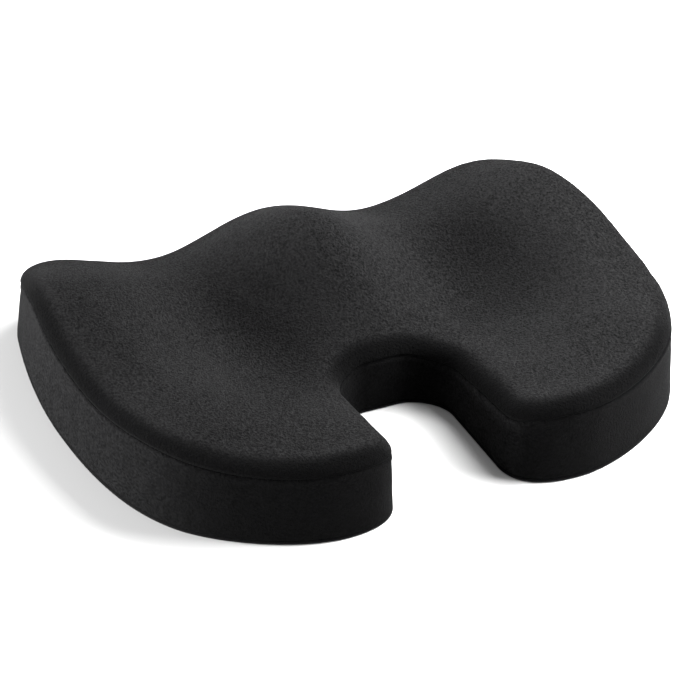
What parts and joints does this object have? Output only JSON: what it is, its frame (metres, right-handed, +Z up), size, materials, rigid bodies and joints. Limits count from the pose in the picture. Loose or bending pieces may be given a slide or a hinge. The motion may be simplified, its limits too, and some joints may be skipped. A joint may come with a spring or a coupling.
{
  "type": "seat cushion",
  "caption": "Contoured foam seat cushion with a tailbone cutout at the rear, thigh channels, a centre ridge and a zip-off velour cover with a grip base.",
  "frame": {"origin": "on the resting plane, under the middle of the whole object", "axes": "+X across the seat, +Y towards the rear edge that the tailbone cutout opens through, +Z up"},
  "size_m": [0.45, 0.3534, 0.0811],
  "materials": {
    "velour": "short brushed velour, black, nap lying front to rear",
    "band_velour": "smoother short velour, black",
    "grip_cloth": "plain weave with moulded rubber grip dots, black",
    "liner_knit": "thin plain knit, off white",
    "foam": "moulded slow-recovery foam, pale cream, matt skin",
    "thread": "spun polyester thread, black",
    "zip_tape": "woven tape, black",
    "zip_nylon": "nylon coil, black, satin",
    "zip_metal": "die-cast zip hardware, black lacquer"
  },
  "bodies": {
    "cushion": {"foam_core": "foam", "liner_top": "liner_knit", "liner_base": "liner_knit", "top_panel": "velour", "side_band": "band_velour", "bottom_panel": "grip_cloth", "top_seam_thread": "thread", "bottom_seam_thread": "thread", "zip_tape_lower": "zip_tape", "zip_tape_upper": "zip_tape", "zip_coil_lower": "zip_nylon", "zip_coil_upper": "zip_nylon", "zip_stop_closed": "zip_metal", "zip_stop_open": "zip_metal"},
    "slider": {"zip_slider": "zip_metal"},
    "pull": {"zip_pull": "zip_metal"}
  },
  "joints": [
    {"name": "slider_travel", "type": "slide", "parent": "cushion", "child": "slider", "axis": [-1, 0, 0], "range_m": [0, 0.2678]},
    {"name": "pull_swing", "type": "hinge", "parent": "slider", "child": "pull", "pos_m": [0.1339, -0.1751, 0.0077], "axis": [0, 0, 1], "range_deg": [0, 180]}
  ]
}
